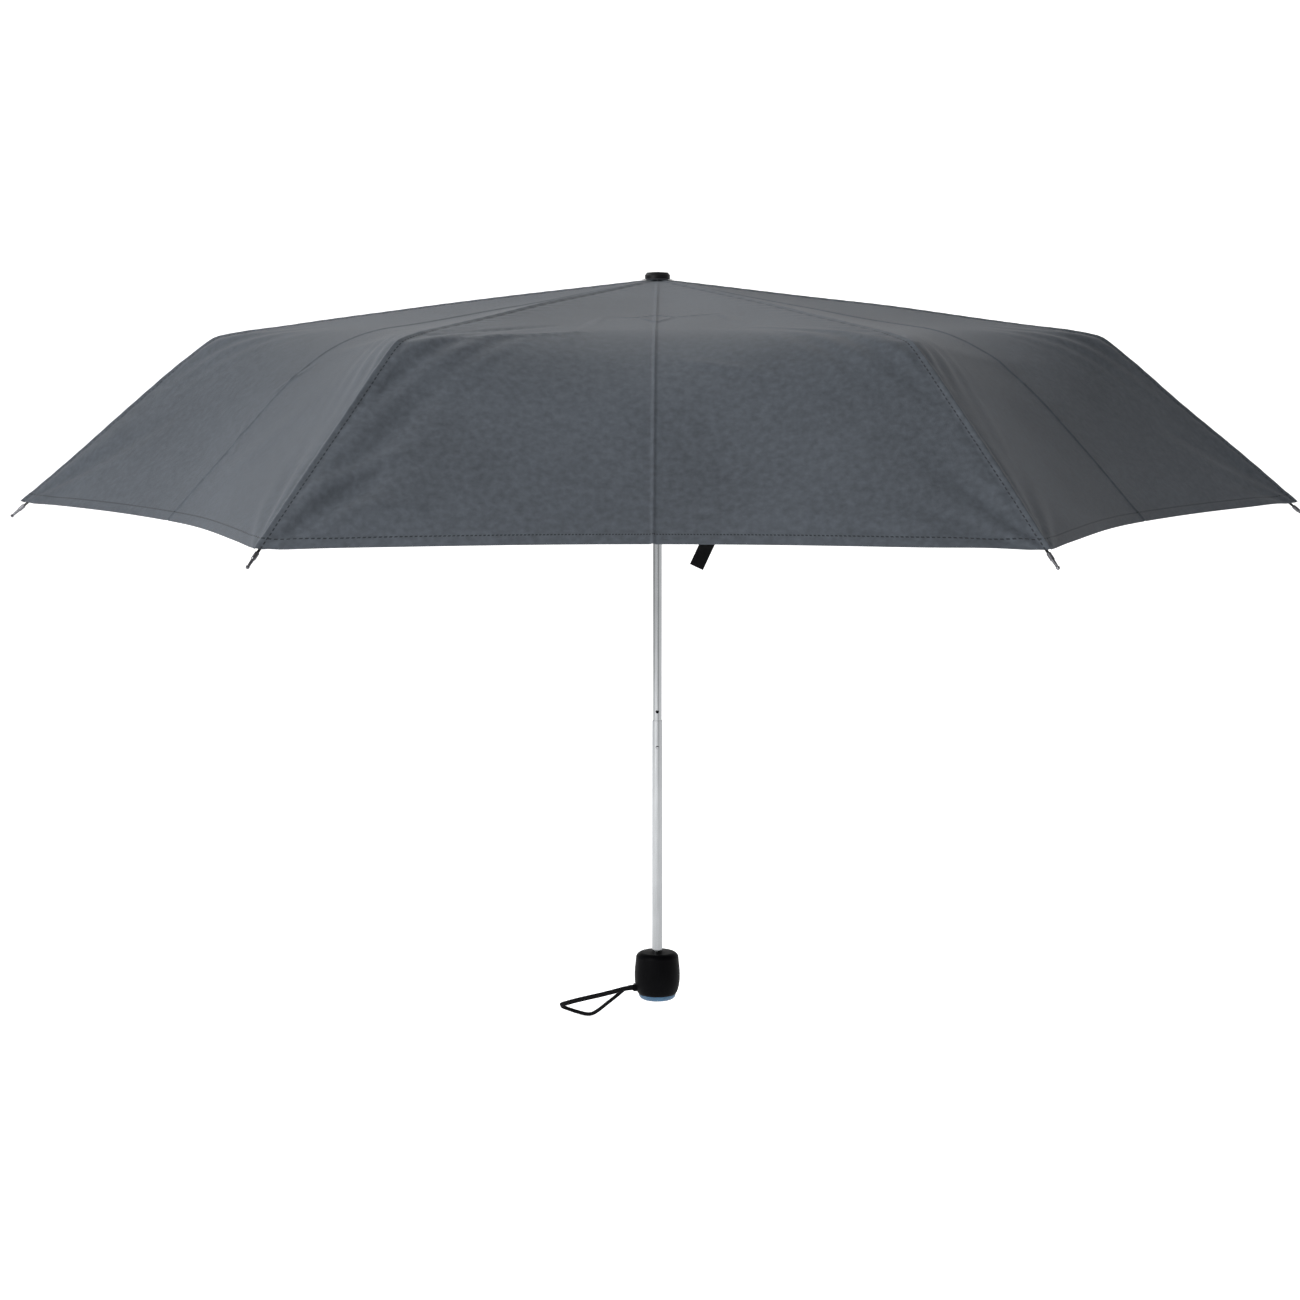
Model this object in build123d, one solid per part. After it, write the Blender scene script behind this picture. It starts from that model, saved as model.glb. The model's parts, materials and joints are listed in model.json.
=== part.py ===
"""Folding umbrella: a three-section shaft, six three-section ribs and a canopy, modelled open.

Frame: origin at the centre of the handle's flat base, +Z up the shaft to the crown, millimetres.
Every rib set is drawn once in the XZ plane, pointing along +X, and turned about Z to its own place.
Points of a rib set are (x, z) pairs, angles are degrees above the horizontal.
"""
from build123d import *
from math import atan2, cos, degrees, hypot, radians, sin, sqrt, tan
import os

# ---- driving dimensions ----
RIBS = 6
RIB_STEP = 360 / RIBS
CROWN_PIVOT = (8.0, 538.0)          # the ring wire that the inner ribs turn on
INNER_LENGTH, INNER_ANGLE = 160.0, -6.6
MIDDLE_LENGTH, MIDDLE_ANGLE = 161.0, -7.7
OUTER_LENGTH, OUTER_ANGLE = 190.0, -40.0
STRUT_AT, STRUT_LENGTH = 70.0, 116.0  # along the inner rib, and pivot to pivot
STRUT_TONGUE = 15.0                 # length of the strut's flattened end
KNEE = 1.9                          # a knee's pin stands this far off both ribs' centre lines

HANDLE_HEIGHT = 37.0
CAP_HEIGHT = 4.2
TUBE_WALL = 0.35
LOWER_R, MIDDLE_R, UPPER_R = 4.0, 3.45, 2.95
LOWER_TOP, MIDDLE_TOP, UPPER_TOP = 214.0, 387.0, 542.0
TUBE_OVERLAP = 24.0
LOCK_BELOW_TOP = 20.0               # each lock button, below its own tube's top end
DOT_ABOVE = 7.0                     # the small drain hole above the lower tube's end
BUTTON_R, BUTTON_PROUD = 1.1, 0.9
BUTTON_PLAY = 0.15                  # between a button and its hole, all round
RUNNER_DOWN, RUNNER_UP = 14.0, 3.5  # the runner's ends, from its ring wire
CATCH_BELOW = 2.0                   # the catch's centre, below the open runner

INNER_HALF, MIDDLE_HALF = 1.3, 1.2  # half widths of the square rib channels
SHEET = 0.4                         # rib steel thickness
ROD_R = 0.9
TONGUE = 0.7                        # half thickness of a flattened end
EAR_IN, EAR_OUT = 0.95, 1.35        # a knee's ears, inside and outside, from the rib's plane
PIN_R, HOLE_R = 0.55, 0.62
STRUT_IN, STRUT_OUT = 1.6, 2.0      # the strut channel's walls, from the rib's plane
WIRE_R = 0.5

CANOPY_ABOVE = 3.8                  # canopy's middle surface above the rib's centre line
CANOPY_THICK = 0.6
CANOPY_HOLE = 4.0
HEM_SAG = 30.0                      # how far the hem bows in between two ribs
GORE_TURNS = (0, 10, 20, 30)        # degrees from the rib at which half a gore's section is drawn

STRAP_R = 1.2                       # the strap's plain round stand-in
STRAP_Z = 8.6                       # height of the lug that holds it
ANCHOR_X = -18.2                    # the lug's outer face
STRAP_ENDS = [(ANCHOR_X, -2.1, STRAP_Z), (ANCHOR_X, 2.1, STRAP_Z)]

TIE_WIDTH, TIE_THICK, TIE_LENGTH = 9.0, 0.8, 48.0
TIE_TOP = (47.0, -352.0, 405.5)     # where the tie is sewn under the front gore
TIE_LEAN = 25.0                     # degrees off plumb
PATCH_LENGTH, PATCH_THICK = 16.0, 0.7


# ---- geometry helpers ----
def polar(origin, angle, along, off=0.0):
    """The point `along` a line from origin and `off` to its left, in the XZ plane."""
    a = radians(angle)
    return (origin[0] + along * cos(a) - off * sin(a), origin[1] + along * sin(a) + off * cos(a))


def slab(points, y0, y1):
    """A plate with this outline in the XZ plane, between two distances from the plane."""
    face = make_face(Polyline(*[(x, 0, z) for x, z in points], close=True))
    return extrude(face, amount=y1 - y0, dir=(0, 1, 0)).moved(Location((0, y0, 0)))


def disc(centre, radius, y0, y1):
    """A round plate across the XZ plane."""
    middle = Location((centre[0], (y0 + y1) / 2, centre[1]), (90, 0, 0))
    return Cylinder(radius, y1 - y0).moved(middle)


def bar(origin, angle, s0, s1, h0, h1, y0, y1):
    """A straight rectangular bar along a line in the XZ plane."""
    corners = [(s0, h0), (s1, h0), (s1, h1), (s0, h1)]
    return slab([polar(origin, angle, s, h) for s, h in corners], y0, y1)


def pair(make):
    """Two mirrored plates, one each side of the rib's plane."""
    one = make()
    return one + mirror(one, about=Plane.XZ)


def channel(origin, angle, s0, s1, half, open_below=True):
    """A square U channel of rib steel, open at its underside or its top."""
    outer = bar(origin, angle, s0, s1, -half, half, -half, half)
    low, high = (-half - 1, half - SHEET) if open_below else (-half + SHEET, half + 1)
    return outer - bar(origin, angle, s0 - 1, s1 + 1, low, high, -half + SHEET, half - SHEET)


def tube(outer, inner, z0, z1):
    ring = Cylinder(outer, z1 - z0) - Cylinder(inner, z1 - z0 + 1)
    return ring.moved(Location((0, 0, (z0 + z1) / 2)))


def turned(points):
    """A solid of revolution about Z from an (r, z) outline."""
    return revolve(make_face(Polyline(*[(r, 0, z) for r, z in points], close=True)), Axis.Z)


def front_hole(radius, z, tube_part):
    """Drills the wall of a tube on its front, -Y side."""
    drill = Cylinder(radius, 5).moved(Location((0, -4, z), (90, 0, 0)))
    return tube_part - drill


# ---- places worked out from the driving dimensions ----
KNEE_1 = polar(CROWN_PIVOT, INNER_ANGLE, INNER_LENGTH, KNEE)
MIDDLE_START = polar(KNEE_1, MIDDLE_ANGLE, 0, -KNEE)
KNEE_2 = polar(MIDDLE_START, MIDDLE_ANGLE, MIDDLE_LENGTH, -KNEE)
OUTER_START = polar(KNEE_2, OUTER_ANGLE, 0, KNEE)
RIB_END = polar(OUTER_START, OUTER_ANGLE, OUTER_LENGTH)
STRUT_PIVOT = polar(CROWN_PIVOT, INNER_ANGLE, STRUT_AT)
RUNNER_Z = STRUT_PIVOT[1] - sqrt(STRUT_LENGTH**2 - (STRUT_PIVOT[0] - CROWN_PIVOT[0]) ** 2)
STRUT_ANGLE = degrees(atan2(RUNNER_Z - STRUT_PIVOT[1], CROWN_PIVOT[0] - STRUT_PIVOT[0]))
LOWER_LOCK_Z = LOWER_TOP - LOCK_BELOW_TOP
UPPER_LOCK_Z = MIDDLE_TOP - LOCK_BELOW_TOP
CATCH_Z = RUNNER_Z - RUNNER_DOWN - CATCH_BELOW


# ---- handle ----
def handle_grip():
    """The black grip: a barrel, widest below the middle, with a rounded top, over the lower tube."""
    side = Spline((15.2, 0, CAP_HEIGHT + 1.5), (17.2, 0, 16.0), (16.7, 0, 27.0), (16.1, 0, 33.0))
    shoulder = ThreePointArc((16.1, 0, 33.0), (14.3, 0, 35.4), (11.0, 0, 36.4))
    top = Line((11.0, 0, 36.4), (LOWER_R, 0, HANDLE_HEIGHT))
    bore = Line((LOWER_R, 0, HANDLE_HEIGHT), (LOWER_R, 0, CAP_HEIGHT))
    floor = Line((LOWER_R, 0, CAP_HEIGHT), (14.2, 0, CAP_HEIGHT))
    foot = Line((14.2, 0, CAP_HEIGHT), (15.2, 0, CAP_HEIGHT + 1.5))
    return revolve(make_face(side + shoulder + top + bore + floor + foot), Axis.Z)


def handle_base_cap():
    """The coloured cap that closes the grip, domed to a flat foot, with a spigot up the lower tube."""
    rim = ThreePointArc((14.2, 0, CAP_HEIGHT), (13.2, 0, 1.3), (10.0, 0, 0))
    foot = Line((10.0, 0, 0), (0, 0, 0))
    axis = Line((0, 0, 0), (0, 0, CAP_HEIGHT + 8))
    spigot_top = Line((0, 0, CAP_HEIGHT + 8), (LOWER_R - TUBE_WALL, 0, CAP_HEIGHT + 8))
    spigot = Line((LOWER_R - TUBE_WALL, 0, CAP_HEIGHT + 8), (LOWER_R - TUBE_WALL, 0, CAP_HEIGHT))
    ledge = Line((LOWER_R - TUBE_WALL, 0, CAP_HEIGHT), (14.2, 0, CAP_HEIGHT))
    return revolve(make_face(rim + foot + axis + spigot_top + spigot + ledge), Axis.Z)


def strap_anchor(grip):
    """A small rounded lug on the grip's left side, which the strap's two ends go into."""
    lug = Box(8, 7.6, 5.0).moved(Location((ANCHOR_X + 4, 0, STRAP_Z)))
    lug = fillet(lug.edges().filter_by(Axis.X), 1.2)
    return lug - grip - Cylinder(14.5, 60)


# The strap's route: out of the lug, a long upper run, a folded corner, and back underneath.
STRAP_ROUTE = [
    STRAP_ENDS[0], (-23.0, -2.1, STRAP_Z), (-32.0, -2.7, 6.1), (-44.0, -3.5, 3.2), (-58.0, -4.2, 0.2),
    (-69.5, -3.8, -3.0), (-74.5, 0.0, -5.6), (-70.0, 3.6, -8.6), (-61.0, 2.6, -11.4),
    (-52.0, 1.6, -13.4), (-46.4, 2.2, -11.2), (-38.5, 3.0, -4.8), (-30.5, 2.7, 1.6),
    (-23.0, 2.1, STRAP_Z), STRAP_ENDS[1],
]


def corner_radii(route):
    """Each corner's arc: 0.45 of the shorter run beside it over the tangent of half its turn."""
    radii = []
    for a, b, c in zip(route, route[1:], route[2:]):
        first, second = Vector(*b) - Vector(*a), Vector(*c) - Vector(*b)
        turn = radians(first.get_angle(second))
        radii.append(0.45 * min(first.length, second.length) / tan(turn / 2))
    return radii


def wrist_strap():
    radii = corner_radii(STRAP_ROUTE)
    path = FilletPolyline(*STRAP_ROUTE, radius=radii)
    print("strap radii", [round(r, 1) for r in radii], "length", round(path.length, 1))
    section = Plane(origin=path @ 0, z_dir=path % 0) * Circle(STRAP_R)
    solid = sweep(section, path=path)
    print("strap volume ratio", round(solid.volume / (section.area * path.length), 4))
    return solid


# ---- shaft ----
def lower_tube():
    made = tube(LOWER_R, LOWER_R - TUBE_WALL, CAP_HEIGHT, LOWER_TOP)
    return front_hole(BUTTON_R + BUTTON_PLAY, LOWER_LOCK_Z, made)


def middle_tube():
    made = tube(MIDDLE_R, MIDDLE_R - TUBE_WALL, LOWER_TOP - TUBE_OVERLAP, MIDDLE_TOP)
    for z in (LOWER_LOCK_Z, UPPER_LOCK_Z, LOWER_TOP + DOT_ABOVE):
        made = front_hole(BUTTON_R + BUTTON_PLAY, z, made)
    return made


def upper_tube():
    made = tube(UPPER_R, UPPER_R - TUBE_WALL, MIDDLE_TOP - TUBE_OVERLAP, UPPER_TOP)
    for z in (UPPER_LOCK_Z, CATCH_Z):
        made = front_hole(BUTTON_R + BUTTON_PLAY, z, made)
    return made


def button(inner_r, outer_r, z):
    """A round push button across a tube's front wall, domed where it stands proud."""
    length = outer_r + BUTTON_PROUD - inner_r
    pin = Cylinder(BUTTON_R, length)
    pin = fillet(pin.edges().sort_by(Axis.Z)[-1], 0.5)
    return pin.moved(Location((0, -inner_r - length / 2, z), (90, 0, 0)))


# ---- crown and runner ----
def wheel_slots(z0, z1, r0):
    """Six radial slots of a notched wheel, one for each rib."""
    slot = Box(20, 2.1, z1 - z0).moved(Location((r0 + 10, 0, (z0 + z1) / 2)))
    return Compound([slot.rotate(Axis.Z, i * RIB_STEP) for i in range(RIBS)])


def ring_wire(z, radius=WIRE_R):
    return Torus(CROWN_PIVOT[0], radius).moved(Location((0, 0, z)))


def crown_notch():
    """The notched wheel at the top of the shaft, which holds the ribs' ring wire."""
    z = CROWN_PIVOT[1]
    hub, top = 5.4, z + 3.0
    outline = [(UPPER_R, z - 8), (hub, z - 8), (hub, z - 3), (10.2, z - 3), (10.2, top), (UPPER_R, top)]
    wheel = turned(outline) - wheel_slots(z - 9, z + 2.1, hub + 0.2)
    return wheel - ring_wire(z, WIRE_R + 0.06)


def ferrule_cap():
    """The flat round cap that clamps the canopy's centre on to the crown."""
    low = CROWN_PIVOT[1] + CANOPY_ABOVE + 1.5
    rim = 9.3
    return turned([(0, low), (rim, low), (rim, low + 2.6), (rim - 1.6, low + 4.6), (0, low + 5.2)])


def crown_washer():
    """The fabric rosette between canopy and cap."""
    low = CROWN_PIVOT[1] + CANOPY_ABOVE + 1.0
    return turned([(0, low), (11.5, low - 0.1), (11.5, low + 0.15), (9.0, low + 0.4), (0, low + 0.4)])


def runner():
    """The sliding hub: a notched wheel for the struts, a barrel, and a ribbed flange for the fingers."""
    z, bore, barrel = RUNNER_Z, LOWER_R + 0.45, 6.3
    low, high = z - RUNNER_DOWN, z + RUNNER_UP
    outline = [
        (bore, low), (8.6, low), (9.2, low + 0.8), (9.2, low + 3.2), (barrel, low + 4.4),
        (barrel, z - 4.0), (10.0, z - 3.0), (10.0, high - 0.6), (9.4, high), (bore, high),
    ]
    body = turned(outline) - wheel_slots(z - 4.5, high + 1, barrel)
    body -= ring_wire(z, WIRE_R + 0.06)
    keyway = Box(2 * BUTTON_R + 0.9, 3.0, 60).moved(Location((0, -LOWER_R - 0.1, z)))
    return body - keyway


# ---- one rib set, pointing along +X ----
def inner_rib():
    """Crown to first knee: a channel with a flattened end at each pivot."""
    at, angle, length = CROWN_PIVOT, INNER_ANGLE, INNER_LENGTH
    made = channel(at, angle, 7.5, length - 6.0, INNER_HALF)
    made += bar(at, angle, 0, 14.0, -INNER_HALF, INNER_HALF, -TONGUE, TONGUE)
    made += disc(at, INNER_HALF, -TONGUE, TONGUE)
    knee_plate = [(length - 14, -1.3), (length, -0.2), (length + 1.1, 1.0), (length + 1.1, KNEE + 0.2)]
    knee_plate += [(length - 1.6, KNEE + 0.9), (length - 8.0, 1.3), (length - 14, 1.3)]
    made += slab([polar(at, angle, s, h) for s, h in knee_plate], -TONGUE, TONGUE)
    made += disc(KNEE_1, 1.1, -TONGUE, TONGUE)
    for centre in (at, KNEE_1, STRUT_PIVOT):
        made -= disc(centre, HOLE_R, -3, 3)
    return made


def middle_rib():
    """First knee to second: ears and pin at the inner end, a flattened end at the outer one."""
    at, angle, length = MIDDLE_START, MIDDLE_ANGLE, MIDDLE_LENGTH
    made = channel(at, angle, 4.5, length - 6.0, MIDDLE_HALF)
    ear = [(-1.0, KNEE - 0.6), (0.2, 0.2), (4.0, -1.2), (10.0, -1.2), (10.0, 1.2), (1.0, KNEE + 0.8)]
    made += pair(lambda: slab([polar(at, angle, s, h) for s, h in ear], EAR_IN, EAR_OUT))
    made += pair(lambda: disc(KNEE_1, 1.1, EAR_IN, EAR_OUT))
    made += disc(KNEE_1, PIN_R, -EAR_OUT, EAR_OUT)
    knee_plate = [(length - 14, 1.2), (length, 0.2), (length + 1.1, -1.0), (length + 1.1, -KNEE - 0.2)]
    knee_plate += [(length - 1.6, -KNEE - 0.9), (length - 8.0, -1.2), (length - 14, -1.2)]
    made += slab([polar(at, angle, s, h) for s, h in knee_plate], -TONGUE, TONGUE)
    made += disc(KNEE_2, 1.1, -TONGUE, TONGUE)
    return made - disc(KNEE_2, HOLE_R, -3, 3)


def outer_rib():
    """Second knee to hem: ears and pin, a crimped socket, and a round rod."""
    at, angle, length = OUTER_START, OUTER_ANGLE, OUTER_LENGTH
    ear = [(-1.0, -KNEE + 0.6), (-1.0, -KNEE - 0.6), (1.0, -KNEE - 0.9)]
    ear += [(12.0, -1.1), (12.0, 1.1), (5.0, 1.1)]
    made = pair(lambda: slab([polar(at, angle, s, h) for s, h in ear], EAR_IN, EAR_OUT))
    made += pair(lambda: disc(KNEE_2, 1.1, EAR_IN, EAR_OUT))
    made += disc(KNEE_2, PIN_R, -EAR_OUT, EAR_OUT)
    made += bar(at, angle, 6.0, 16.0, -1.1, 1.1, -EAR_OUT, EAR_OUT)
    rod = Cylinder(ROD_R, length - 10.0)
    middle = polar(at, angle, (length + 10.0) / 2)
    return made + rod.moved(Location((middle[0], 0, middle[1]), (0, 90 - angle, 0)))


def rib_tip():
    """The metal tip on the rod's end, with the collar that the canopy's corner is sewn to."""
    outline = [(0, 0), (1.5, 0), (1.5, 5.0), (1.1, 5.8), (0.9, 11.0), (1.3, 11.8), (1.0, 13.0), (0, 13.4)]
    made = turned(outline).rotate(Axis.Y, 90 - OUTER_ANGLE)
    return made.moved(Location((RIB_END[0], 0, RIB_END[1])))


def strut():
    """Inner rib to runner: a channel that straddles the rib, with its pin, and a flattened open end.

    The channel stops short of the runner's rim, and only the flattened end goes into a slot.
    """
    at, angle, length = STRUT_PIVOT, STRUT_ANGLE, STRUT_LENGTH
    channel_end = length - STRUT_TONGUE
    wall = [(0, -1.3), (6, -2.1), (channel_end, -2.1), (channel_end, 0.6), (6, 0.9), (0, 1.3)]
    made = pair(lambda: slab([polar(at, angle, s, h) for s, h in wall], STRUT_IN, STRUT_OUT))
    made += pair(lambda: disc(at, 1.3, STRUT_IN, STRUT_OUT))
    made += disc(at, PIN_R, -STRUT_OUT, STRUT_OUT)
    made += bar(at, angle, 8, channel_end, -2.5, -2.1, -STRUT_OUT, STRUT_OUT)
    made += bar(at, angle, channel_end - 4, channel_end, -2.1, 0.6, -STRUT_IN, STRUT_IN)
    made += bar(at, angle, channel_end - 1, length - 0.3, -1.3, 1.0, -TONGUE, TONGUE)
    return made - disc((CROWN_PIVOT[0], RUNNER_Z), 1.1, -3, 3)


# ---- canopy and tie ----
def canopy_profile():
    """The canopy's middle line over a rib, as (distance along the rib's plane, height)."""
    start = polar(CROWN_PIVOT, INNER_ANGLE, CANOPY_HOLE - CROWN_PIVOT[0], CANOPY_ABOVE)
    knee = polar(CROWN_PIVOT, INNER_ANGLE, INNER_LENGTH, CANOPY_ABOVE)
    bend = (OUTER_ANGLE - MIDDLE_ANGLE) / 2
    elbow = polar(OUTER_START, (OUTER_ANGLE + MIDDLE_ANGLE) / 2, 0, CANOPY_ABOVE / cos(radians(bend)))
    return [start, knee, elbow, polar(RIB_END, OUTER_ANGLE, 0, CANOPY_ABOVE)]


def gore_section(turn):
    """The cloth cut by the upright plane `turn` degrees round from its rib.

    Each hoop of cloth keeps its height. It runs straight to the next rib, and bows in towards the hem.
    """
    half_step = RIB_STEP / 2
    bowed = 1 - (1 - turn / half_step) ** 2
    line = []
    for r, z in canopy_profile():
        chord = r * cos(radians(half_step)) / cos(radians(half_step - turn))
        bow = HEM_SAG * (r - CANOPY_HOLE) / (RIB_END[0] - CANOPY_HOLE)
        line.append((chord - bow * bowed, z))
    top = [(r, 0, z + CANOPY_THICK / 2) for r, z in line]
    low = [(r, 0, z - CANOPY_THICK / 2) for r, z in reversed(line)]
    return make_face(Polyline(*top, *low, close=True)).rotate(Axis.Z, turn)


def half_gore():
    """Half the cloth between two ribs, from the rib to the middle of the gore."""
    return loft([gore_section(turn) for turn in GORE_TURNS], ruled=True)


def canopy_gore():
    """The cloth that one rib carries: half a gore on each side of it."""
    half = half_gore()
    return half + mirror(half, about=Plane.XZ)


def tie_strap():
    """The closing tie, sewn inside the front hem and hanging a little askew."""
    band = Box(TIE_WIDTH, TIE_THICK, TIE_LENGTH).moved(Location((0, 0, -TIE_LENGTH / 2)))
    return band.rotate(Axis.Y, TIE_LEAN).moved(Location(TIE_TOP))


def tie_fastener():
    """The hook-and-loop patch on the tie's free end."""
    behind = (TIE_THICK + PATCH_THICK) / 2
    patch = Box(TIE_WIDTH - 2, PATCH_THICK, PATCH_LENGTH).moved(Location((0, behind, -TIE_LENGTH + 10)))
    return patch.rotate(Axis.Y, TIE_LEAN).moved(Location(TIE_TOP))


# ---- write every node ----
def write(name, shape):
    export_step(shape, f"parts/{name}.step")


os.makedirs("parts", exist_ok=True)
grip = handle_grip()
write("handle_grip", grip)
write("handle_base_cap", handle_base_cap())
write("strap_anchor", strap_anchor(grip))
write("wrist_strap", wrist_strap())
write("lower_tube", lower_tube())
write("middle_tube", middle_tube())
write("upper_tube", upper_tube())
write("lower_lock_button", button(MIDDLE_R + 0.1, LOWER_R, LOWER_LOCK_Z))
write("upper_lock_button", button(UPPER_R + 0.1, MIDDLE_R, UPPER_LOCK_Z))
write("runner_catch", button(UPPER_R - 0.9, UPPER_R + 0.6, CATCH_Z))
write("crown_notch", crown_notch())
write("crown_wire", ring_wire(CROWN_PIVOT[1]))
write("crown_washer", crown_washer())
write("ferrule_cap", ferrule_cap())
write("runner", runner())
write("runner_wire", ring_wire(RUNNER_Z))
rib_set = {
    "inner_rib": inner_rib(),
    "middle_rib": middle_rib(),
    "outer_rib": outer_rib(),
    "rib_tip": rib_tip(),
    "strut": strut(),
    "canopy_gore": canopy_gore(),
}
for number in range(1, RIBS + 1):
    for name, shape in rib_set.items():
        write(f"{name}_{number}", shape.rotate(Axis.Z, (number - 1) * RIB_STEP))
write("tie_strap", tie_strap())
write("tie_fastener", tie_fastener())
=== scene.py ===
"""Folding umbrella: cloth, strap, tie and finishes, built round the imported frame.

Metres, +Z up the shaft, -Y to the front, rib 1 along +X. The cloth is one surface formula, cut where
the ribs fold: every rib carries an inner, a middle and an outer zone, each in a left and a right half.
"""

import json
import math

import bpy
import numpy as np
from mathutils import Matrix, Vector


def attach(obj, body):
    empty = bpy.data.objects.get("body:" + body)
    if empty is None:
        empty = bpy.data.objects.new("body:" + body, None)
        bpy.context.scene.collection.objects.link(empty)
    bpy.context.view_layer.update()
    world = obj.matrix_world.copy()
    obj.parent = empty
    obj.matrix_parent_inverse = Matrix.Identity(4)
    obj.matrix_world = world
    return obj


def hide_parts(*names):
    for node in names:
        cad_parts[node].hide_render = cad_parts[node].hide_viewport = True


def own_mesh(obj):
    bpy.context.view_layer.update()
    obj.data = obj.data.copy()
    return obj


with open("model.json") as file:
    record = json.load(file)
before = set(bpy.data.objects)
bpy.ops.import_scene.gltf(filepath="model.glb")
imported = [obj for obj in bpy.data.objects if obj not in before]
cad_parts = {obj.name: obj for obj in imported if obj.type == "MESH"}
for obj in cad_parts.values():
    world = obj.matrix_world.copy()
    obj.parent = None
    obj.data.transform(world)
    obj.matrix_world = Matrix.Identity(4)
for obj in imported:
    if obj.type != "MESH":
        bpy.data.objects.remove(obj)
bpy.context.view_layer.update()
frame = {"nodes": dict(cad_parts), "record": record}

# ---- the part's driving sizes, as the CAD has them ----
RIBS = 6
RIB_STEP = 2 * math.pi / RIBS
HALF_STEP = RIB_STEP / 2
CROWN = (0.008, 0.538)
INNER_LENGTH, INNER_ANGLE = 0.160, math.radians(-6.6)
MIDDLE_LENGTH, MIDDLE_ANGLE = 0.161, math.radians(-7.7)
OUTER_LENGTH, OUTER_ANGLE = 0.190, math.radians(-40.0)
KNEE = 0.0019
CLOTH_ABOVE = 0.0038
CLOTH_HOLE = 0.004
HEM_BOW = 0.030
CLOTH_THICK = 0.0004


def along(origin, angle, distance, off=0.0):
    """The (r, z) point a distance along a line in a rib's plane, and off to its upper side."""
    r = origin[0] + distance * math.cos(angle) - off * math.sin(angle)
    return (r, origin[1] + distance * math.sin(angle) + off * math.cos(angle))


KNEE_1 = along(CROWN, INNER_ANGLE, INNER_LENGTH, KNEE)
MIDDLE_START = along(KNEE_1, MIDDLE_ANGLE, 0, -KNEE)
KNEE_2 = along(MIDDLE_START, MIDDLE_ANGLE, MIDDLE_LENGTH, -KNEE)
OUTER_START = along(KNEE_2, OUTER_ANGLE, 0, KNEE)
RIB_END = along(OUTER_START, OUTER_ANGLE, OUTER_LENGTH)
CLOTH_START = along(CROWN, INNER_ANGLE, CLOTH_HOLE - CROWN[0], CLOTH_ABOVE)
CLOTH_KNEE = along(CROWN, INNER_ANGLE, INNER_LENGTH, CLOTH_ABOVE)
HALF_BEND = (OUTER_ANGLE - MIDDLE_ANGLE) / 2
CLOTH_ELBOW = along(OUTER_START, (OUTER_ANGLE + MIDDLE_ANGLE) / 2, 0, CLOTH_ABOVE / math.cos(HALF_BEND))
CLOTH_END = along(RIB_END, OUTER_ANGLE, 0, CLOTH_ABOVE)

FRONT_GORE = 4.5 * RIB_STEP          # azimuth of the middle of the gore that faces the front
LEFT_GORE = 3.5 * RIB_STEP
RIGHT_GORE = 5.5 * RIB_STEP


# ---- the cloth's surface ----
def ramp(x, width):
    """max(x, 0) with its corner rounded over plus and minus width."""
    rounded = (x + width) ** 2 / (4 * width)
    return np.where(x < -width, 0.0, np.where(x > width, x, rounded))


def slope(a, b):
    """Rise over run from one (r, z) point to another."""
    return (b[1] - a[1]) / (b[0] - a[0])


SLOPE_1 = slope(CLOTH_START, CLOTH_KNEE)
SLOPE_2 = slope(CLOTH_KNEE, CLOTH_ELBOW)
SLOPE_3 = slope(CLOTH_ELBOW, CLOTH_END)


def bump(x, width):
    """A smooth hump, 1 at x = 0 and nearly 0 past twice the width."""
    return np.exp(-((x / width) ** 2))


def crease(r, side, start, end, depth, width):
    """A soft fold along a straight line on the cloth, from start to end in (r, side) metres."""
    a, b = np.array(start), np.array(end)
    run = b - a
    t = np.clip(((r - a[0]) * run[0] + (side - a[1]) * run[1]) / (run @ run), 0, 1)
    gap = np.hypot(r - a[0] - t * run[0], side - a[1] - t * run[1])
    fade = np.sin(np.pi * np.clip(0.12 + 0.76 * t, 0, 1))
    return depth * fade * bump(gap, width)


# Folds in the front gore. Side is metres from the middle of the gore, to the viewer's right.
FRONT_FOLDS = [
    ((0.196, 0.000), (0.206, -0.0125), 0.0011, 0.0016),
    ((0.196, 0.000), (0.206, 0.0125), 0.0011, 0.0016),
    ((0.206, -0.0125), (0.236, 0.000), 0.0011, 0.0016),
    ((0.206, 0.0125), (0.236, 0.000), 0.0011, 0.0016),
    ((0.206, -0.011), (0.204, -0.036), 0.0009, 0.0018),
    ((0.204, -0.036), (0.310, -0.060), 0.0007, 0.0022),
    ((0.206, 0.011), (0.190, 0.044), 0.0009, 0.0018),
    ((0.190, 0.044), (0.255, 0.066), 0.0008, 0.0024),
    ((0.428, -0.196), (0.372, -0.146), -0.0042, 0.0085),
    ((0.440, -0.214), (0.412, -0.160), 0.0024, 0.0060),
    ((0.468, -0.226), (0.420, -0.166), -0.0040, 0.0075),
    ((0.452, -0.220), (0.448, -0.150), 0.0022, 0.0090),
    ((0.372, -0.178), (0.340, -0.150), -0.0026, 0.0060),
    ((0.318, -0.152), (0.258, -0.070), -0.0012, 0.0040),
    ((0.326, -0.150), (0.285, -0.050), 0.0010, 0.0035),
    ((0.318, 0.150), (0.262, 0.070), 0.0010, 0.0040),
    ((0.335, 0.020), (0.352, 0.075), 0.0008, 0.0050),
    ((0.452, 0.060), (0.462, 0.215), 0.0010, 0.0050),
]
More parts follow.
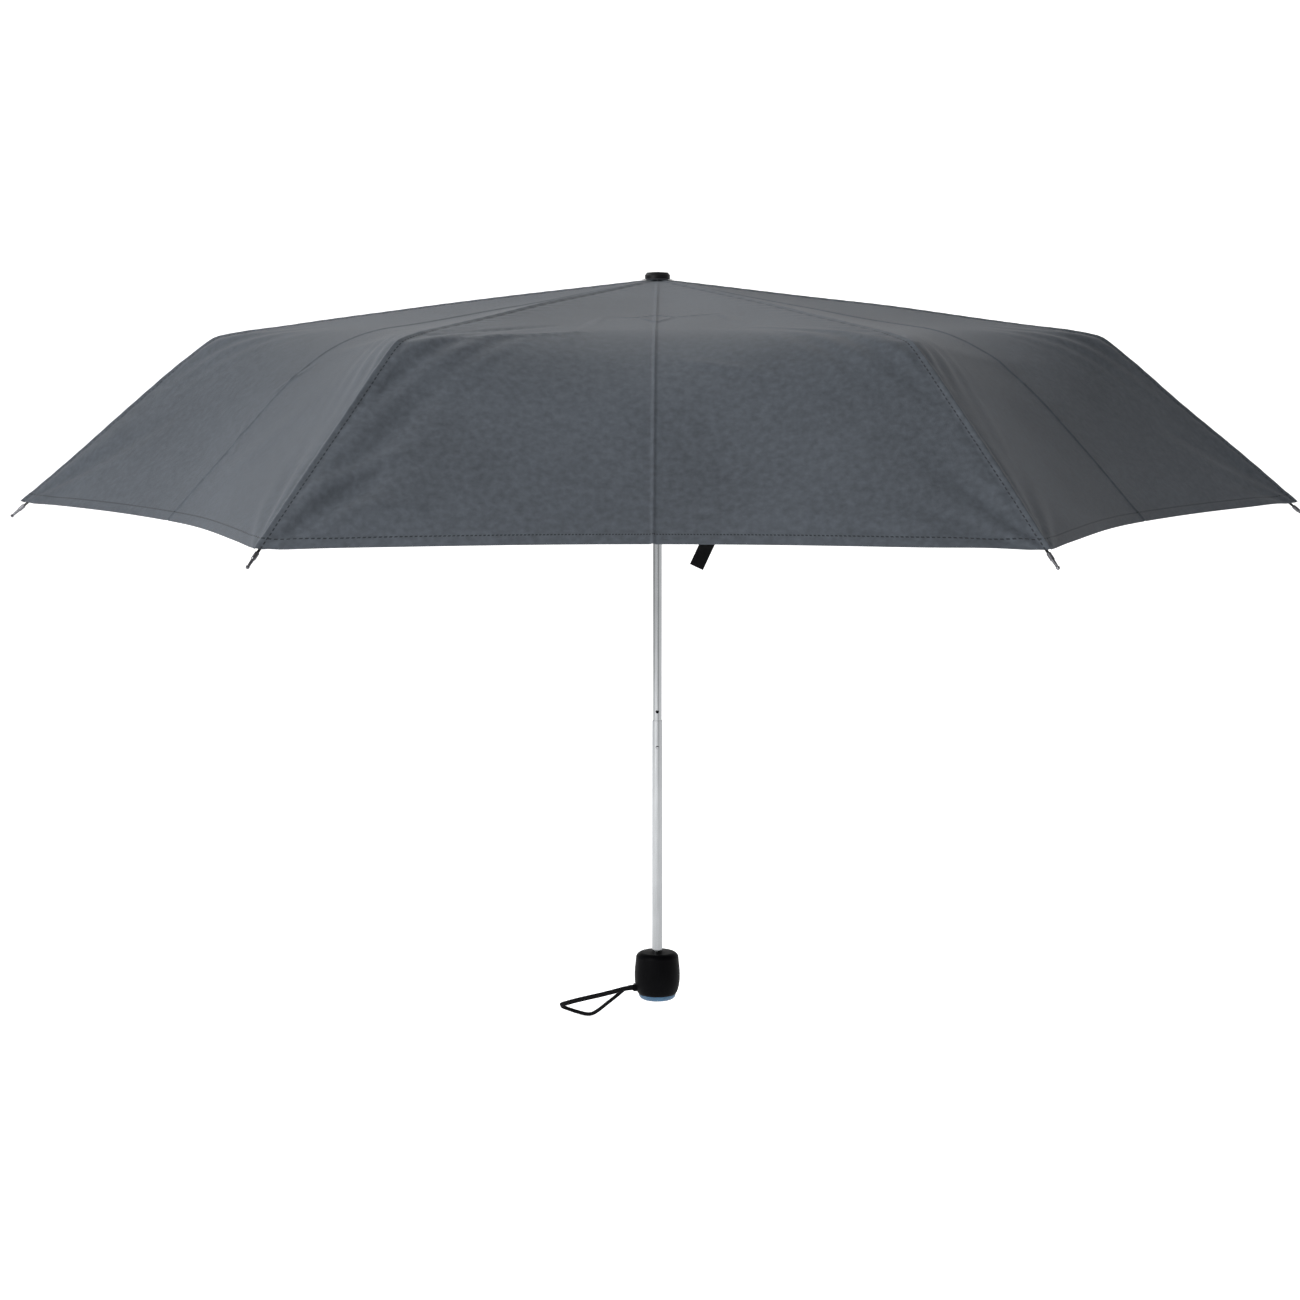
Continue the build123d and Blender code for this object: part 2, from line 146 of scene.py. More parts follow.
# Folds in the left gore, the same way.
LEFT_FOLDS = [
    ((0.345, 0.012), (0.372, -0.010), 0.0008, 0.0024),
    ((0.395, -0.016), (0.420, 0.014), 0.0008, 0.0024),
    ((0.470, -0.220), (0.400, -0.130), -0.0016, 0.0070),
    ((0.440, 0.040), (0.380, 0.090), 0.0012, 0.0160),
    ((0.330, 0.020), (0.315, 0.110), 0.0010, 0.0080),
]
RIGHT_FOLDS = [
    ((0.470, 0.222), (0.410, 0.150), -0.0018, 0.0070),
    ((0.460, -0.215), (0.380, -0.140), 0.0010, 0.0080),
    ((0.330, -0.100), (0.345, 0.060), 0.0008, 0.0100),
]


def gore_share(turn):
    """0 over a rib to 1 in the middle of a gore, for the angle from the nearest rib."""
    return 1 - (1 - np.abs(turn) / HALF_STEP) ** 2


SEAM_RISE, SEAM_WIDTH = 0.00055, 0.0016
SEAM_DIP, SEAM_DIP_AT, SEAM_DIP_WIDTH = 0.00035, 0.0042, 0.0018
CREASE_RISE, CREASE_WIDTH = 0.00075, 0.0014       # the pressed crease up the middle of each gore
PUCKER_RISE, PUCKER_PITCH, PUCKER_AT = 0.00022, 0.013, 0.006
FAN_RISE, FAN_FOLDS = 0.0011, 9                   # folds that fan out from each tip
FAN_BLUNT = 0.004                                 # keeps the fan from closing to a point at the tip
FAN_AT, FAN_REACH = 0.045, 0.035                  # where the fan is strongest, measured from the tip
FAN_SIDE, FAN_SIDE_REACH = 0.02, 0.03             # and measured from the seam
ELBOW_RISE, ELBOW_SIDE, ELBOW_REACH = 0.0008, 0.02, 0.04
RIPPLES_ACROSS, RIPPLES_OUT = 260, 90             # radians a metre
SLACK_RISE = 0.0009
GORE_EDGE_FADE = 0.03                             # radians over which a listed fold dies out
HEM_RISE, HEM_WIDTH, HEM_EDGE = 0.00025, 0.0075, 0.0012


def seam_relief(r, azimuth, from_seam):
    """The rounded seam over a rib, the dip beside it and the puckers of its stitching."""
    made = SEAM_RISE * bump(from_seam, SEAM_WIDTH)
    made -= SEAM_DIP * bump(from_seam - SEAM_DIP_AT, SEAM_DIP_WIDTH)
    pucker = np.sin(r * 2 * math.pi / PUCKER_PITCH + 1.7 * np.sin(azimuth * 3))
    return made + PUCKER_RISE * pucker * bump(from_seam - PUCKER_AT, PUCKER_AT)


def tip_relief(r, azimuth, from_seam):
    """Folds that fan out from the tip where the cloth is sewn to the rib."""
    tip = np.hypot(r - CLOTH_END[0], from_seam)
    fan = np.arctan2(from_seam, np.maximum(CLOTH_END[0] - r, 0) + FAN_BLUNT)
    fade = bump(tip - FAN_AT, FAN_REACH) * bump(from_seam - FAN_SIDE, FAN_SIDE_REACH)
    return FAN_RISE * np.sin(fan * FAN_FOLDS + np.cos(azimuth * 5)) * fade


def slack_relief(r, azimuth, from_seam):
    """Small ripples beside the elbow, and long soft waves that grow towards the hem."""
    elbow = np.hypot(r - CLOTH_ELBOW[0], from_seam - ELBOW_SIDE)
    ripple = np.sin(from_seam * RIPPLES_ACROSS + r * RIPPLES_OUT)
    made = ELBOW_RISE * ripple * bump(elbow, ELBOW_REACH)
    wave = np.sin(r * 31 + 2.0 * np.cos(azimuth * 2)) * np.sin(azimuth * 7 + r * 13)
    return made + SLACK_RISE * wave * r / CLOTH_END[0]


def fold_relief(r, azimuth):
    """The folds listed for the front, left and right gores."""
    made = 0.0
    for middle, folds in ((FRONT_GORE, FRONT_FOLDS), (LEFT_GORE, LEFT_FOLDS), (RIGHT_GORE, RIGHT_FOLDS)):
        swing = (azimuth - middle + math.pi) % (2 * math.pi) - math.pi
        side = r * math.cos(HALF_STEP) * np.tan(np.clip(swing, -1.2, 1.2))
        inside = np.clip((HALF_STEP - np.abs(swing)) / GORE_EDGE_FADE, 0, 1)
        for start, end, depth, width in folds:
            made = made + inside * crease(r, side, start, end, depth, width)
    return made


def relief(r, azimuth, turn):
    """Height of the seams, creases and folds over the plain surface."""
    from_seam = r * np.tan(np.abs(turn))
    from_middle = r * math.cos(HALF_STEP) * np.tan(HALF_STEP - np.abs(turn))
    crown_fade = np.clip(r / CLOTH_END[0] * 6, 0, 1)
    made = seam_relief(r, azimuth, from_seam)
    made += CREASE_RISE * bump(from_middle, CREASE_WIDTH) * crown_fade
    made += tip_relief(r, azimuth, from_seam) + slack_relief(r, azimuth, from_seam)
    made += HEM_RISE * np.clip((HEM_WIDTH - (CLOTH_END[0] - r)) / HEM_EDGE, 0, 1)
    return made + fold_relief(r, azimuth)


KNEE_BEND = 0.02
ELBOW_BEND, ELBOW_BEND_MORE = 0.007, 0.055        # over a rib, and added in the middle of a gore
SAG, SAG_FROM = 0.0035, 0.02


def plain(r, azimuth):
    """The cloth's middle surface without relief, as an array of points."""
    turn = (azimuth + HALF_STEP) % RIB_STEP - HALF_STEP
    share = gore_share(turn)
    chord = r * math.cos(HALF_STEP) / np.cos(HALF_STEP - np.abs(turn))
    bow = HEM_BOW * (r - CLOTH_HOLE) / (RIB_END[0] - CLOTH_HOLE)
    radius = chord - bow * share
    z = CLOTH_START[1] + SLOPE_1 * (r - CLOTH_START[0])
    z = z + (SLOPE_2 - SLOPE_1) * ramp(r - CLOTH_KNEE[0], KNEE_BEND)
    z = z + (SLOPE_3 - SLOPE_2) * ramp(r - CLOTH_ELBOW[0], ELBOW_BEND + ELBOW_BEND_MORE * share)
    sag_run = np.clip((r - SAG_FROM) / (CLOTH_ELBOW[0] - SAG_FROM), 0, 1)
    z = z - SAG * share * np.sin(np.pi * sag_run)
    return np.stack([radius * np.cos(azimuth), radius * np.sin(azimuth), z], axis=-1)


def normal_of(surface, r, azimuth):
    """The surface's upper unit normal, from small steps out and round."""
    step_r, step_a = 0.0003, 0.0006
    across = surface(r + step_r, azimuth) - surface(r - step_r, azimuth)
    round_it = surface(r, azimuth + step_a) - surface(r, azimuth - step_a)
    n = np.cross(across, round_it)
    return n / np.linalg.norm(n, axis=-1, keepdims=True)


def cloth(r, azimuth):
    """The cloth's middle surface with every seam and fold."""
    turn = (azimuth + HALF_STEP) % RIB_STEP - HALF_STEP
    height = relief(r, azimuth, turn)
    return plain(r, azimuth) + height[..., None] * normal_of(plain, r, azimuth)


END_FINENESS = 0.93                  # 0 is even steps, 1 is steps that shrink to nothing at both ends


def graded(count):
    """0 to 1 in count steps, closer together at both ends."""
    t = np.linspace(0, 1, count + 1)
    return t - END_FINENESS * np.sin(2 * math.pi * t) / (2 * math.pi)


def mesh_object(name, points, faces):
    """A smooth-shaded mesh in the scene."""
    mesh = bpy.data.meshes.new(name)
    mesh.from_pydata([tuple(p) for p in points], [], faces)
    mesh.polygons.foreach_set("use_smooth", [True] * len(faces))
    mesh.update()
    made = bpy.data.objects.new(name, mesh)
    bpy.context.scene.collection.objects.link(made)
    return made


def grid_faces(rows, columns, first, flip):
    """The quads of a grid of points, counted from the first."""
    faces = []
    for i in range(rows - 1):
        for j in range(columns - 1):
            a = first + i * columns + j
            quad = (a, a + columns, a + columns + 1, a + 1)
            faces.append(quad[::-1] if flip else quad)
    return faces


def rim_faces(rows, columns):
    """Quads round the border, from the upper layer to the lower."""
    loop = list(range(columns))
    loop += [i * columns + columns - 1 for i in range(1, rows)]
    loop += [(rows - 1) * columns + j for j in range(columns - 2, -1, -1)]
    loop += [i * columns for i in range(rows - 2, 0, -1)]
    under = rows * columns
    pairs = zip(loop, loop[1:] + loop[:1])
    return [(a, b, b + under, a + under) for a, b in pairs]


def panel(name, rib, side, r_low, r_high, rows, columns, material):
    """Half of one zone of the cloth, closed, with the whole surface's own shading."""
    base = (rib - 1) * RIB_STEP
    r = np.linspace(r_low, r_high, rows + 1)
    turn = side * HALF_STEP * graded(columns)
    r, turn = np.meshgrid(r, turn, indexing="ij")
    azimuth = base + turn
    normal = normal_of(cloth, r, azimuth)
    middle = cloth(r, azimuth)
    top = (middle + normal * CLOTH_THICK / 2).reshape(-1, 3)
    low = (middle - normal * CLOTH_THICK / 2).reshape(-1, 3)
    shape = (rows + 1, columns + 1)
    flip = side < 0
    layers = grid_faces(*shape, 0, flip) + grid_faces(*shape, len(top), not flip)
    rim = [face[::-1] if flip else face for face in rim_faces(*shape)]
    made = mesh_object(name, np.concatenate([top, low]), layers + rim)
    mesh = made.data
    corner = np.zeros(len(mesh.loops), int)
    mesh.loops.foreach_get("vertex_index", corner)
    shade_panel(mesh, corner, normal.reshape(-1, 3), len(layers))
    flat = np.stack([(r * np.tan(turn)).reshape(-1), r.reshape(-1)], axis=1)
    uv = np.concatenate([flat, flat])[corner]
    layer = mesh.uv_layers.new(name="Cloth")
    layer.data.foreach_set("uv", uv.astype(np.float32).ravel())
    mesh.materials.append(material)
    return made, cloth_area(middle)


def shade_panel(mesh, corner, normal, first_rim):
    """Shading normals: the cloth's own on both layers, and each face's own round the rim."""
    shading = np.concatenate([normal, -normal])[corner]
    for polygon in mesh.polygons[first_rim:]:
        shading[polygon.loop_start:polygon.loop_start + 4] = polygon.normal
    mesh.normals_split_custom_set([tuple(n) for n in shading])


def cloth_area(middle):
    """The area of the middle surface, as two triangles a cell."""
    a, b = middle[1:, :-1] - middle[:-1, :-1], middle[:-1, 1:] - middle[:-1, :-1]
    c, d = middle[:-1, 1:] - middle[1:, 1:], middle[1:, :-1] - middle[1:, 1:]
    first = np.linalg.norm(np.cross(a, b), axis=-1).sum()
    return float(first + np.linalg.norm(np.cross(c, d), axis=-1).sum()) / 2


# ---- materials ----
class Nodes:
    """A small helper that adds and joins shader nodes."""

    def __init__(self, name):
        self.material = bpy.data.materials.new(name)
        self.material.use_nodes = True
        self.tree = self.material.node_tree
        self.shader = self.tree.nodes["Principled BSDF"]

    def add(self, kind, **values):
        node = self.tree.nodes.new(kind)
        for key, value in values.items():
            setattr(node, key, value)
        return node

    def join(self, out, into):
        self.tree.links.new(out, into)

    def math(self, operation, a, b=0.0):
        node = self.tree.nodes.new("ShaderNodeMath")
        node.operation = operation
        for socket, value in zip(node.inputs, (a, b)):
            if isinstance(value, (int, float)):
                socket.default_value = value
            else:
                self.join(value, socket)
        return node.outputs[0]

    def between(self, value, low, high):
        """0 up to low, 1 from high, and even between."""
        node = self.add("ShaderNodeMapRange")
        self.join(value, node.inputs["Value"])
        node.inputs["From Min"].default_value = low
        node.inputs["From Max"].default_value = high
        return node.outputs["Result"]

    def place(self):
        return self.add("ShaderNodeTexCoord").outputs["Object"]

    def noise(self, vector, scale, detail=3.0):
        node = self.add("ShaderNodeTexNoise")
        node.inputs["Scale"].default_value = scale
        node.inputs["Detail"].default_value = detail
        self.join(vector, node.inputs["Vector"])
        return node.outputs["Fac"]

    def ramp(self, value, stops):
        node = self.add("ShaderNodeValToRGB")
        elements = node.color_ramp.elements
        elements[0].position, elements[0].color = stops[0][0], (*stops[0][1], 1)
        elements[1].position, elements[1].color = stops[-1][0], (*stops[-1][1], 1)
        for position, colour in stops[1:-1]:
            elements.new(position).color = (*colour, 1)
        self.join(value, node.inputs["Fac"])
        return node.outputs["Color"]

    def bump(self, height, strength, distance):
        node = self.add("ShaderNodeBump")
        node.inputs["Strength"].default_value = strength
        node.inputs["Distance"].default_value = distance
        self.join(height, node.inputs["Height"])
        self.join(node.outputs["Normal"], self.shader.inputs["Normal"])

    def uniform(self, **values):
        for key, value in values.items():
            self.shader.inputs[key.replace("_", " ")].default_value = value

    def span(self, value, low, high):
        """The value, from 0 to 1, stretched to run from low to high."""
        node = self.add("ShaderNodeMapRange")
        self.join(value, node.inputs["Value"])
        node.inputs["To Min"].default_value = low
        node.inputs["To Max"].default_value = high
        return node.outputs["Result"]


def tinted(colour, factor):
    return tuple(c * factor for c in colour)


def mottled(n, value, low, colour_low, high, colour_high):
    """Colours the shader from one tone to another as the value goes from low to high."""
    n.join(n.ramp(value, [(low, colour_low), (high, colour_high)]), n.shader.inputs["Base Color"])


def stripes(n, distance, pitch):
    """A sine wave along a distance, one turn each pitch."""
    return n.math("SINE", n.math("MULTIPLY", distance, 2 * math.pi / pitch))


WEAVE_PITCH, STITCH_PITCH = 0.0009, 0.0030
STITCH_FROM_SEAM, STITCH_HALF = 0.0027, 0.00035
HEM_STITCH_FROM_END, HEM_STITCH_HALF = 0.0066, 0.00045


def stitch_line(n, from_line, half_width, run):
    """1 on the dashes of a stitched line, 0 elsewhere."""
    on_line = n.math("LESS_THAN", n.math("ABSOLUTE", from_line), half_width)
    dash = n.math("GREATER_THAN", stripes(n, run, STITCH_PITCH), -0.3)
    return n.math("MULTIPLY", on_line, dash)


def canopy_material():
    """Dark blue-grey plain weave, with stitching along the seams and the hem."""
    n = Nodes("canopy cloth")
    colour = (0.066, 0.075, 0.088)
    parts = n.add("ShaderNodeSeparateXYZ")
    n.join(n.add("ShaderNodeUVMap", uv_map="Cloth").outputs["UV"], parts.inputs[0])
    across, out = parts.outputs["X"], parts.outputs["Y"]
    weave = n.math("MULTIPLY", stripes(n, across, WEAVE_PITCH), stripes(n, out, WEAVE_PITCH))
    place = n.place()
    mottle = n.noise(place, 230.0, 4.0)
    cloudy = n.noise(place, 9.0, 2.0)
    blend = n.math("ADD", n.math("MULTIPLY", mottle, 0.62), n.math("MULTIPLY", cloudy, 0.38))
    tone = n.ramp(blend, [(0.30, tinted(colour, 0.74)), (0.5, colour), (0.70, tinted(colour, 1.28))])
    from_line = n.math("SUBTRACT", n.math("ABSOLUTE", across), STITCH_FROM_SEAM)
    seam = stitch_line(n, from_line, STITCH_HALF, out)
    from_hem_line = n.math("SUBTRACT", out, CLOTH_END[0] - HEM_STITCH_FROM_END)
    hem = stitch_line(n, from_hem_line, HEM_STITCH_HALF, across)
    stitch = n.math("MAXIMUM", seam, hem)
    mix = n.add("ShaderNodeMix", data_type="RGBA")
    n.join(stitch, mix.inputs[0])
    n.join(tone, mix.inputs[6])
    mix.inputs[7].default_value = (*tinted(colour, 0.35), 1)
    n.join(mix.outputs[2], n.shader.inputs["Base Color"])
    n.join(n.span(mottle, 0.56, 0.80), n.shader.inputs["Roughness"])
    height = n.math("ADD", n.math("MULTIPLY", weave, 0.5), n.math("MULTIPLY", mottle, 1.4))
    n.bump(n.math("SUBTRACT", height, stitch), 0.35, 0.0002)
    n.uniform(Sheen_Weight=0.03, Sheen_Roughness=0.45, Specular_IOR_Level=0.16)
    return n.material


def webbing_material(name, colour, pitch):
    """Woven black tape: a fine diagonal rib and a slightly worn, uneven tone."""
    n = Nodes(name)
    place = n.place()
    parts = n.add("ShaderNodeSeparateXYZ")
    n.join(place, parts.inputs[0])
    one_way = n.math("ADD", parts.outputs["X"], parts.outputs["Z"])
    other_way = n.math("SUBTRACT", parts.outputs["X"], parts.outputs["Z"])
    weave = n.math("MULTIPLY", stripes(n, one_way, pitch), stripes(n, other_way, pitch))
    wear = n.noise(place, 180.0, 4.0)
    mottled(n, wear, 0.3, tinted(colour, 0.7), 0.72, tinted(colour, 1.9))
    n.join(n.span(wear, 0.62, 0.9), n.shader.inputs["Roughness"])
    n.bump(weave, 0.6, 0.0002)
    n.uniform(Sheen_Weight=0.02, Sheen_Roughness=0.5, Specular_IOR_Level=0.12)
    return n.material


def metal_material(name, colour, rough_low, rough_high, grain, metallic=1.0):
    """Plated or painted steel: fine lengthwise grain, smudges, and a rougher tone here and there."""
    n = Nodes(name)
    place = n.place()
    stretch = n.add("ShaderNodeMapping")
    stretch.inputs["Scale"].default_value = (1.0, 1.0, 0.06)
    n.join(place, stretch.inputs["Vector"])
    fine = n.noise(stretch.outputs["Vector"], grain, 4.0)
    smudge = n.noise(place, 38.0, 3.0)
    both = n.math("ADD", n.math("MULTIPLY", fine, 0.5), n.math("MULTIPLY", smudge, 0.5))
    mottled(n, both, 0.3, tinted(colour, 0.86), 0.7, tinted(colour, 1.08))
    n.join(n.span(both, rough_low, rough_high), n.shader.inputs["Roughness"])
    n.bump(fine, 0.08, 0.00005)
    n.uniform(Metallic=metallic)
    return n.material


def plastic_material(name, colour, rough_low, rough_high, grain, depth, shine=0.5):
    """Moulded plastic: a fine spark-eroded grain with faint handling marks."""
    n = Nodes(name)
    place = n.place()
    fine = n.noise(place, grain, 2.0)
    marks = n.noise(place, 60.0, 5.0)
    mottled(n, marks, 0.35, tinted(colour, 0.85), 0.7, tinted(colour, 1.25))
    n.join(n.span(marks, rough_low, rough_high), n.shader.inputs["Roughness"])
    n.bump(fine, depth, 0.0001)
    n.uniform(Specular_IOR_Level=shine)
    return n.material


def hook_material():
    """The looped face of a hook-and-loop patch."""
    n = Nodes("hook and loop")
    place = n.place()
    loops = n.add("ShaderNodeTexVoronoi")
    loops.inputs["Scale"].default_value = 1500.0
    n.join(place, loops.inputs["Vector"])
    pile = loops.outputs["Distance"]
    mottled(n, pile, 0.0, (0.022, 0.022, 0.024), 0.7, (0.004, 0.004, 0.005))
    n.join(n.span(pile, 0.8, 0.97), n.shader.inputs["Roughness"])
    n.bump(pile, 0.8, 0.0003)
    return n.material


CLOTH_LOOK = canopy_material()
# A metal or plastic finish has a colour, its least and most roughness and the scale of its grain.
FINISHES = {
    "canopy_fabric": CLOTH_LOOK,
    "webbing": webbing_material("black webbing", (0.003, 0.003, 0.0035), WEAVE_PITCH),
    "hook_and_loop": hook_material(),
    "handle_plastic": plastic_material("black grip plastic", (0.0015, 0.0015, 0.002), 0.42, 0.60, 1600.0,
                                       depth=0.20, shine=0.04),
    "cap_plastic": plastic_material("blue cap plastic", (0.025, 0.085, 0.160), 0.18, 0.32, 900.0, depth=0.06),
    "hub_plastic": plastic_material("black hub plastic", (0.006, 0.006, 0.007), 0.40, 0.58, 1200.0,
                                    depth=0.16, shine=0.2),
    "shaft_steel": metal_material("plated shaft", (0.35, 0.36, 0.37), 0.09, 0.18, 900.0),
    "rib_steel": metal_material("plated rib", (0.50, 0.51, 0.52), 0.26, 0.42, 700.0),
    "rib_black": metal_material("black coated rib", (0.014, 0.014, 0.015), 0.30, 0.46, 700.0,
                                metallic=0.35),
    "tip_metal": metal_material("dark nickel tip", (0.13, 0.13, 0.14), 0.24, 0.40, 900.0),
}
SLOT_OF = {row["node"]: row["material_slot"] for row in frame["record"]["subparts"]}
for node, made in frame["nodes"].items():
    made.data.materials.clear()
    made.data.materials.append(FINISHES[SLOT_OF[node]])


# ---- canopy ----
# Each zone's least and most radius, its rib's slope, and its rows of cells along the rib.
ZONES = {
    "inner": (CLOTH_HOLE, CLOTH_KNEE[0], INNER_ANGLE, 36),
    "middle": (CLOTH_KNEE[0], CLOTH_ELBOW[0], MIDDLE_ANGLE, 40),
    "outer": (CLOTH_ELBOW[0], CLOTH_END[0], OUTER_ANGLE, 46),
}
COLUMNS = 44


def add_half_zone(rib, zone, side, hand):
    """One half zone of cloth: it rides on its own rib."""
    r_low, r_high, angle, rows = ZONES[zone]
    name = f"canopy_{zone}_{rib}_{hand}"
    piece, area = panel(name, rib, side, r_low, r_high, rows, COLUMNS, CLOTH_LOOK)
    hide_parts(f"canopy_gore_{rib}")
    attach(piece, f"{zone}_rib_{rib}")
    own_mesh(piece)


for rib in range(1, RIBS + 1):
    for zone in ZONES:
        add_half_zone(rib, zone, -1, "right")
        add_half_zone(rib, zone, 1, "left")


# ---- wrist strap ----
ROUTE = [
    (-0.0182, -0.0021, 0.0086), (-0.0230, -0.0021, 0.0086), (-0.0320, -0.0027, 0.0061),
    (-0.0440, -0.0035, 0.0032), (-0.0580, -0.0042, 0.0002), (-0.0695, -0.0038, -0.0030),
    (-0.0745, 0.0000, -0.0056), (-0.0700, 0.0036, -0.0086), (-0.0610, 0.0026, -0.0114),
    (-0.0520, 0.0016, -0.0134), (-0.0464, 0.0022, -0.0112), (-0.0385, 0.0030, -0.0048),
    (-0.0305, 0.0027, 0.0016), (-0.0230, 0.0021, 0.0086), (-0.0182, 0.0021, 0.0086),
]
STRAP_WIDTH, STRAP_THICK = 0.0036, 0.0015


def spline_points(route):
    """The points of the smooth NURBS line that has the route as its control points."""
    curve = bpy.data.curves.new("strap_line", "CURVE")
    curve.dimensions = "3D"
    curve.resolution_u = 12
    spline = curve.splines.new("NURBS")
    spline.points.add(len(route) - 1)
    for point, at in zip(spline.points, route):
        point.co = (*at, 1)
    spline.order_u = 3
    spline.use_endpoint_u = True
    made = bpy.data.objects.new("strap_line", curve)
    bpy.context.scene.collection.objects.link(made)
    bpy.context.view_layer.update()
    mesh = bpy.data.meshes.new_from_object(made)
    points = [v.co.copy() for v in mesh.vertices]
    bpy.data.objects.remove(made)
    bpy.data.meshes.remove(mesh)
    return points


def tape_section(width, thick, count=16):
    """A flat section with rounded edges, as (across, through) pairs."""
    section = []
    for k in range(count):
        a = 2 * math.pi * k / count
        across = math.copysign(abs(math.cos(a)) ** 0.6, math.cos(a)) * width / 2
        through = math.copysign(abs(math.sin(a)) ** 0.6, math.sin(a)) * thick / 2
        section.append((across, through))
    return section


def ring_mesh(name, rings, material):
    """A closed tube through the rings, with both ends capped."""
    count = len(rings[0])
    faces = []
    for i in range(len(rings) - 1):
        for k in range(count):
            a, b = i * count + k, i * count + (k + 1) % count
            faces.append((a, b, b + count, a + count))
    last = (len(rings) - 1) * count
    faces.append(tuple(range(count))[::-1])
    faces.append(tuple(range(last, last + count)))
    made = mesh_object(name, [p for ring in rings for p in ring], faces)
    made.data.materials.append(material)
    return made


def tape(name, points, first_side, width, thick, material):
    """A closed flat tape that follows the points and keeps from twisting."""
    section = tape_section(width, thick)
    rings, side = [], Vector(first_side)
    for i, at in enumerate(points):
        ahead = points[min(i + 1, len(points) - 1)] - points[max(i - 1, 0)]
        ahead.normalize()
        side = (side - ahead * side.dot(ahead)).normalized()
        up = ahead.cross(side)
        rings.append([at + side * a + up * b for a, b in section])
    return ring_mesh(name, rings, material)


strap_line = spline_points(ROUTE)
strap = tape("strap_tape", strap_line, (0, 0.35, 1), STRAP_WIDTH, STRAP_THICK, FINISHES["webbing"])
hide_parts("wrist_strap")
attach(strap, "handle")

# ---- closing tie ----
TIE_TOP = Vector((0.047, -0.352, 0.4055))
TIE_LENGTH, TIE_WIDTH, TIE_THICK = 0.048, 0.009, 0.0008
TIE_LEAN = math.radians(25)
TIE_CURL = 0.0014
PATCH_LENGTH, PATCH_WIDTH, PATCH_THICK = 0.016, TIE_WIDTH - 0.002, 0.0007
PATCH_TOP = TIE_LENGTH - PATCH_LENGTH - 0.002
PATCH_BACK = 0.00075                 # the patch's middle, behind the tape's
BAND_ROWS = 30
TIE_RIB, TIE_SIDE = 6, -1


def tie_point(down, across, through):
    """A point of the tie: it hangs leaning to the left, with a slight curl to the back."""
    curl = TIE_CURL * math.sin(math.pi * down / TIE_LENGTH)
    ahead = Vector((-math.sin(TIE_LEAN), 0, -math.cos(TIE_LEAN)))
    side = Vector((math.cos(TIE_LEAN), 0, -math.sin(TIE_LEAN)))
    return TIE_TOP + ahead * down + side * across + Vector((0, through + curl, 0))


def flat_band(name, down_from, down_to, width, back, thick, material):
    """A band of tape with soft edges that follows the tie's line, set back from it."""
    section = tape_section(width, thick)
    rings = []
    for i in range(BAND_ROWS + 1):
        down = down_from + (down_to - down_from) * i / BAND_ROWS
        rings.append([tie_point(down, a, b + back) for a, b in section])
    return ring_mesh(name, rings, material)


tie = flat_band("tie_tape", 0, TIE_LENGTH, TIE_WIDTH, 0, TIE_THICK, FINISHES["webbing"])
patch = flat_band("tie_patch", PATCH_TOP, PATCH_TOP + PATCH_LENGTH, PATCH_WIDTH, PATCH_BACK, PATCH_THICK,
                  FINISHES["hook_and_loop"])
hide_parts("tie_strap")
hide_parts("tie_fastener")
for piece in (tie, patch):
    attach(piece, f"outer_rib_{TIE_RIB}")
    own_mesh(piece)


# ---- studio ----
FLOOR_LEVEL = -0.016
FLOOR_FRONT, FLOOR_HALF_WIDE = -14.0, 14.0
WALL_AT, WALL_TOP = 5.0, 9.0
WALL_BEND, BEND_STEPS = 1.6, 12
WHITE, SHADE = (1, 1, 1), (0.40, 0.40, 0.40)
FLOOR_GLOW = 0.78
SHADE_FROM, SHADE_FULL = 1.0, 3.8    # how far out the shaded strips begin, and are at their darkest
DIM_FROM, DIM_FULL, DIM = 1.6, 3.2, 0.75


def paper_material():
    """Pale paper that glows a little, with two shaded strips outside the camera's view.

    One strip lies to the left and one to the front right. They draw the darker lines up the plated
    shaft. The paper is dimmer high up the wall, above the camera's view.
    """
    n = Nodes("studio paper")
    place = n.place()
    grain = n.noise(place, 3.0, 2.0)
    parts = n.add("ShaderNodeSeparateXYZ")
    n.join(place, parts.inputs[0])
    x, z = parts.outputs["X"], parts.outputs["Z"]
    forward = n.math("MULTIPLY", parts.outputs["Y"], -1.0)
    bearing = n.math("ARCTAN2", x, forward)
    turn = n.math("ADD", n.math("MULTIPLY", bearing, 0.5 / math.pi), 0.5)
    bands = n.ramp(turn, [(0.13, WHITE), (0.22, SHADE), (0.28, SHADE), (0.36, WHITE),
                          (0.51, WHITE), (0.55, SHADE), (0.585, SHADE), (0.65, WHITE)])
    away = n.math("ADD", n.math("ABSOLUTE", x), forward)
    near = n.math("SUBTRACT", 1.0, n.between(away, SHADE_FROM, SHADE_FULL))
    low = n.math("SUBTRACT", 1.0, n.math("MULTIPLY", n.between(z, DIM_FROM, DIM_FULL), DIM))
    lit = n.math("MULTIPLY", n.math("MAXIMUM", bands, near), low)
    # Painted shade: the shaded strips and the dimmer upper wall, times a faint random grain in the paper's
    # tone.
    uneven = n.math("MULTIPLY", lit, n.math("ADD", 0.97, n.math("MULTIPLY", grain, 0.03)))
    mottled(n, uneven, 0.0, (0.03, 0.03, 0.03), 1.0, (0.90, 0.90, 0.90))
    n.join(n.math("MULTIPLY", lit, FLOOR_GLOW), n.shader.inputs["Emission Strength"])
    n.uniform(Roughness=0.9, Emission_Color=(1, 1, 1, 1))
    return n.material


